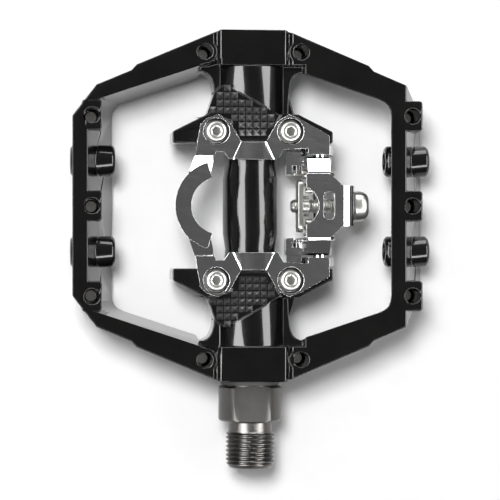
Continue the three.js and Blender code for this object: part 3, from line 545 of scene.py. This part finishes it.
def add_pyramid(mesh, x, y, face, up):
    """A frustum on the pad's face; up is 1 on the binding face and -1 on the flat face."""
    low = [mesh.verts.new(at(x + a * PYRAMID_HALF, y + b * PYRAMID_HALF, face)) for a, b in RING]
    tip = face + up * PYRAMID_HEIGHT
    high = [mesh.verts.new(at(x + a * PYRAMID_TIP, y + b * PYRAMID_TIP, tip)) for a, b in RING]
    mesh.faces.new(low[::-1])
    mesh.faces.new(high)
    for k in range(4):
        n = (k + 1) % 4
        mesh.faces.new((low[k], low[n], high[n], high[k]))


def new_piece(name, mesh, material, body):
    """Turns a bmesh into a named piece that rides on a body of the frame."""
    bmesh.ops.recalc_face_normals(mesh, faces=mesh.faces)
    data = bpy.data.meshes.new(name)
    mesh.to_mesh(data)
    mesh.free()
    data.materials.append(material)
    piece = bpy.data.objects.new(name, data)
    bpy.context.scene.collection.objects.link(piece)
    if body:
        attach(piece, body)
    return piece


for name, end, up in [
    ("knurl_binding_outboard", 1, 1),
    ("knurl_binding_inboard", -1, 1),
    ("knurl_flat_outboard", 1, -1),
    ("knurl_flat_inboard", -1, -1),
]:
    mesh = bmesh.new()
    for x, y in spots:
        add_pyramid(mesh, x * up, y * end, up * (PAD_FACE - PYRAMID_SINK), up)
    new_piece(name, mesh, knurl_paint, "platform")
    print(name, "made")

# %% [markdown]
# ## Turned pieces
#
# The spindle, the tension bolt, the binding screws and the grub screws are all turned on a lathe and
# then threaded, and most end in a hex socket or carry spanner flats. One helper makes them all: a
# stack of rings along an axis, where a ring's radius may change with the angle. A helical thread is
# a radius that depends on angle and distance together, and a hexagon is one that depends on angle.

# %% Rings into a solid
def skin(rings, angles, place):
    """A closed bmesh from rings [(distance, radius or function of angle)], put in place by a function."""
    mesh = bmesh.new()
    loops = []
    for distance, radius in rings:
        loop = []
        for turn in angles:
            r = radius(turn) if callable(radius) else radius
            loop.append(mesh.verts.new(place(distance, r, turn)))
        loops.append(loop)
    count = len(angles)
    for low, high in zip(loops, loops[1:]):
        for k in range(count):
            n = (k + 1) % count
            mesh.faces.new((low[k], low[n], high[n], high[k]))
    mesh.faces.new(loops[0][::-1])
    mesh.faces.new(loops[-1])
    return mesh


def shade_edges(piece, corner=32):
    """Smooth shading, with a hard line where faces turn by more than corner degrees."""
    for polygon in piece.data.polygons:
        polygon.use_smooth = True
    piece.data.set_sharp_from_angle(angle=math.radians(corner))


def even_angles(count):
    """Angles of equal steps that go once round."""
    return [2 * math.pi * k / count for k in range(count)]


# %% [markdown]
# A V thread's depth rises and falls once per pitch. At its two ends it has to fade out, or the last
# ridge would stand open like a cut spring.

# %% Thread rings
def thread_rings(start, end, outer, depth, pitch, fade, rings_per_pitch=8, hand=1):
    """Rings of a helical thread between two distances; fade is the length of each run-out."""
    count = max(2, round((end - start) / pitch * rings_per_pitch))
    rings = []
    for k in range(count + 1):
        s = start + (end - start) * k / count
        strength = min(1, (s - start) / fade, (end - s) / fade) if fade else 1

        def radius(turn, s=s, strength=strength):
            phase = (s / pitch - hand * turn / (2 * math.pi)) % 1
            groove = 1 - abs(2 * phase - 1)
            shaped = max(0.0, min(1.0, 1.35 * groove - 0.15))
            return outer - depth * (1 - strength * shaped)

        rings.append((s, radius))
    return rings


def hexagon(across):
    """The radius of a hexagon hole, by angle."""
    half = across / 2

    def radius(turn):
        return half / math.cos((turn % (math.pi / 3)) - math.pi / 6)

    return radius


# %% [markdown]
# ## Spindle
#
# A pedal spindle screws into the crank by a 9/16 inch thread with twenty turns to the inch. Behind it
# come a narrow undercut, a collar with two spanner flats, and, inside the hub, journals for the
# plain bush and the ball bearing. The whole of it is one piece of steel, so it is one piece here.

# %% Spindle
THREAD_PITCH = 25.4 / 20
COLLAR_HALF_FLATS = 7.5
COLLAR_R = 9.25
spindle_low, spindle_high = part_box("spindle")
end_y = (spindle_low.y - HUB_Y) / MM
tail_y = (spindle_high.y - HUB_Y) / MM


def collar(radius):
    """A round collar cut by two spanner flats that face up and down."""

    def by_angle(turn):
        rise = abs(math.sin(turn))
        return min(radius, COLLAR_HALF_FLATS / rise) if rise > 0.1 else radius

    return by_angle


thread_top = end_y + 10.95
collar_in = thread_top + 2.7
collar_out = collar_in + 10.2
rings = [(end_y + 0.35, 2.6), (end_y, 2.8), (end_y, 5.8)]
rings += thread_rings(end_y + 0.5, thread_top - 0.2, 7.1, 0.72, THREAD_PITCH, 0.9)
rings += [
    (thread_top + 0.6, 6.35),
    (collar_in - 0.5, 6.35),
    (collar_in, 6.7),
    (collar_in, collar(8.7)),
    (collar_in + 0.2, collar(8.98)),
    (collar_in + 0.5, collar(COLLAR_R)),
    (collar_out - 0.5, collar(COLLAR_R)),
    (collar_out - 0.2, collar(8.98)),
    (collar_out, collar(8.7)),
    (collar_out, 7.2),
    (-48.8, 7.2),
    (-48.5, 6.0),
    (-34.2, 6.0),
    (-33.2, 4.8),
    (27.8, 4.8),
    (27.8, 4.0),
]
rings += thread_rings(34.6, tail_y - 0.3, 4.0, 0.35, 1.0, 0.6, rings_per_pitch=6)
rings += [(tail_y, 3.4), (tail_y, 1.2), (tail_y - 0.8, 0.6)]
flat_edge = math.asin(COLLAR_HALF_FLATS / COLLAR_R)
corner_angles = [flat_edge, math.pi - flat_edge, math.pi + flat_edge, 2 * math.pi - flat_edge]
spindle_angles = sorted(even_angles(72) + corner_angles)


def along_y(distance, r, turn):
    """A point of a ring round the spindle's axis."""
    return at(r * math.cos(turn), distance, r * math.sin(turn))


spindle_mesh = skin(rings, spindle_angles, along_y)
spindle = new_piece("spindle_turned", spindle_mesh, spindle_metal, "spindle")
shade_edges(spindle, 28)
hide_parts("spindle")
print("spindle length, mm:", round(tail_y - end_y, 2))

# %% [markdown]
# ## Binding screws
#
# Four button screws hold the plated binding to the hub. Each head sits in a dished seat and has a hex
# socket. They are standard M4, so they share one mesh, put in four places.

# %% Binding screws
SCREW_PITCH = 0.7
screw_low, screw_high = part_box("binding_screw_1")
tip_z, head_z = screw_low.z / MM, screw_high.z / MM


def along_z(distance, r, turn):
    """A point of a ring round an upright axis."""
    return Vector((r * math.cos(turn) * MM, r * math.sin(turn) * MM, distance * MM))


rings = [(tip_z, 1.45)]
rings += thread_rings(tip_z + 0.4, head_z - 1.7, 2.0, 0.32, SCREW_PITCH, 0.4, rings_per_pitch=6)
rings += [
    (head_z - 1.5, 1.95),
    (head_z - 1.5, 2.6),
    (head_z - 1.3, 2.8),
    (head_z - 0.5, 2.8),
    (head_z - 0.2, 2.68),
    (head_z - 0.04, 2.4),
    (head_z, 2.05),
    (head_z, 1.62),
    (head_z - 0.16, hexagon(2.5)),
    (head_z - 1.9, hexagon(2.5)),
    (head_z - 1.9, 0.3),
]
screw_angles = even_angles(36)
screw_mesh = skin(rings, screw_angles, along_z)
screw_piece = new_piece("button_screw_1", screw_mesh, zinc, None)
shade_edges(screw_piece, 30)
for i in range(1, 5):
    low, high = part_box(f"binding_screw_{i}")
    if i > 1:
        screw_piece = bpy.data.objects.new(f"button_screw_{i}", screw_piece.data)
        bpy.context.scene.collection.objects.link(screw_piece)
    screw_piece.location = ((low.x + high.x) / 2, (low.y + high.y) / 2, 0)
    screw_piece.rotation_euler = (0, 0, 0.35 * i)
    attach(screw_piece, "platform")
    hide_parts(f"binding_screw_{i}")
print("button screws: 4")

# %% [markdown]
# ## Grub screws
#
# The flat face grips a sole with ten threaded pins. They are set screws with a hex socket in the end
# that stands out, so that a key can change their height. Again one mesh does for all.

# %% Grub screws
pin_low, pin_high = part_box("traction_pin_1")
tip_z, top_z = pin_low.z / MM, pin_high.z / MM
rings = [
    (tip_z + 1.9, 0.3),
    (tip_z + 1.9, hexagon(2.0)),
    (tip_z + 0.15, hexagon(2.0)),
    (tip_z, 1.3),
    (tip_z, 1.6),
]
rings += thread_rings(tip_z + 0.3, top_z - 0.3, 2.05, 0.3, SCREW_PITCH, 0.35, rings_per_pitch=6)
rings += [(top_z, 1.6), (top_z, 0.3)]
pin_angles = even_angles(30)
pin_mesh = skin(rings, pin_angles, along_z)
pin_piece = new_piece("grub_screw_1", pin_mesh, nickel, None)
shade_edges(pin_piece, 30)
for i in range(1, 11):
    low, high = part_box(f"traction_pin_{i}")
    if i > 1:
        pin_piece = bpy.data.objects.new(f"grub_screw_{i}", pin_piece.data)
        bpy.context.scene.collection.objects.link(pin_piece)
    pin_piece.location = ((low.x + high.x) / 2, (low.y + high.y) / 2, 0)
    pin_piece.rotation_euler = (0, 0, 0.7 * i)
    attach(pin_piece, "platform")
    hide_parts(f"traction_pin_{i}")
print("grub screws: 10")

# %% [markdown]
# ## Tension bolt
#
# The bolt behind the claw draws a plate against the springs and so sets how hard the cleat is held.
# Its domed head has a 3 mm socket and its shank a thread that shows through the claw's slot.

# %% Tension bolt
bolt_low, bolt_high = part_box("tension_bolt")
bolt_z = (bolt_low.z + bolt_high.z) / 2 / MM
bolt_tip, bolt_end = bolt_low.x / MM, bolt_high.x / MM
head_x = bolt_end - 4.2


def along_x(distance, r, turn):
    """A point of a ring round the bolt's axis."""
    return at(distance, r * math.cos(turn), bolt_z + r * math.sin(turn))


BOLT_HEAD_R = 4.35
HEAD_RIM = 1.6
DOME_HEIGHT = 2.6
DOME_STEPS = 8
DOME_TURN = 1.02

rings = [(bolt_tip, 1.3)]
rings += thread_rings(bolt_tip + 0.3, head_x - 1.2, 2.0, 0.34, SCREW_PITCH, 0.4, rings_per_pitch=6)
rings += [
    (head_x - 1.0, 1.95),
    (head_x, 1.95),
    (head_x, BOLT_HEAD_R - 0.3),
    (head_x + 0.3, BOLT_HEAD_R),
    (head_x + HEAD_RIM, BOLT_HEAD_R),
]
for k in range(1, DOME_STEPS + 1):
    share = k / DOME_STEPS
    rise = DOME_HEIGHT * math.sin(share * math.pi / 2)
    rings.append((head_x + HEAD_RIM + rise, BOLT_HEAD_R * math.cos(share * DOME_TURN)))
rings += [
    (bolt_end, 1.95),
    (bolt_end - 0.2, hexagon(3.0)),
    (bolt_end - 2.0, hexagon(3.0)),
    (bolt_end - 2.0, 0.3),
]
bolt_angles = even_angles(48)
bolt_mesh = skin(rings, bolt_angles, along_x)
bolt = new_piece("domed_bolt", bolt_mesh, zinc, "tension_bolt")
shade_edges(bolt, 32)
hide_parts("tension_bolt")
print("bolt length, mm:", round(bolt_end - bolt_tip, 2))

# %% [markdown]
# ## Springs
#
# Each side of the claw has a torsion spring: one leg rests on the binding's arm, the coil winds round
# the pivot shaft, and the other leg reaches for the tension plate. On the real pedal the plate presses
# that leg aside. Here the leg stops just short of it, so that the two stay clear over the plate's whole
# travel. The wire is a round section swept along that line. On the real pedal, when the claw opens, the
# inner end of the coil turns with it and the outer end stays; here each spring is one fixed piece that
# rides on no body.

# %% Spring wire
PIVOT_X, PIVOT_Z = 20.1, 2.5
WIRE_R = 0.85
COIL_R = 3.85
COIL_TURNS = 2.5
COIL_OUT_Y, COIL_IN_Y = 10.0, 4.6
LEG_LOW, LEG_HIGH = 6.7, 4.4
LEG_STEPS = 6
COIL_STEPS = 90


def spring_point(side, f, straight):
    """A point of the wire: f runs along the coil, straight along a leg in the coil's own direction."""
    turn = -math.pi / 2 + f * COIL_TURNS * 2 * math.pi
    y = COIL_OUT_Y + (COIL_IN_Y - COIL_OUT_Y) * f
    x = PIVOT_X + COIL_R * math.cos(turn) - math.sin(turn) * straight
    z = PIVOT_Z + COIL_R * math.sin(turn) + math.cos(turn) * straight
    return at(x, side * y, z)


def spring_line(side):
    """The wire's centre line: the low leg, the coil, the high leg."""
    line = [spring_point(side, 0, -LEG_LOW + LEG_LOW * k / LEG_STEPS) for k in range(LEG_STEPS)]
    line += [spring_point(side, k / COIL_STEPS, 0) for k in range(COIL_STEPS + 1)]
    line += [spring_point(side, 1, LEG_HIGH * k / LEG_STEPS) for k in range(1, LEG_STEPS + 1)]
    return line


END_SHARE = 0.72
END_STEP = 0.18


def sweep_wire(line, radius, sides=14):
    """A closed tube round a line, with softly rounded ends."""
    mesh = bmesh.new()
    tangents = []
    for i in range(len(line)):
        ahead, behind = line[min(i + 1, len(line) - 1)], line[max(i - 1, 0)]
        tangents.append((ahead - behind).normalized())
    across = tangents[0].orthogonal().normalized()
    loops = []
    last = len(line) - 1
    stations = [(0, END_SHARE)] + [(i, 1.0) for i in range(len(line))] + [(last, END_SHARE)]
    for rank, (i, share) in enumerate(stations):
        t = tangents[i]
        across = (across - t * across.dot(t)).normalized()
        other = t.cross(across)
        centre = line[i].copy()
        if share < 1:
            centre += t * (END_STEP * MM if rank else -END_STEP * MM)
        loop = []
        for turn in even_angles(sides):
            offset = across * math.cos(turn) + other * math.sin(turn)
            loop.append(mesh.verts.new(centre + offset * radius * share))
        loops.append(loop)
    for low, high in zip(loops, loops[1:]):
        for k in range(sides):
            n = (k + 1) % sides
            mesh.faces.new((low[k], low[n], high[n], high[k]))
    mesh.faces.new(loops[0][::-1])
    mesh.faces.new(loops[-1])
    return mesh


for name, side in [("outboard", 1), ("inboard", -1)]:
    wire = sweep_wire(spring_line(side), WIRE_R * MM)
    coil = new_piece(f"coil_{name}", wire, spring_wire, None)
    shade_edges(coil, 50)
    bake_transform(coil)
    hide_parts(f"spring_{name}")
    print("spring wound:", name)
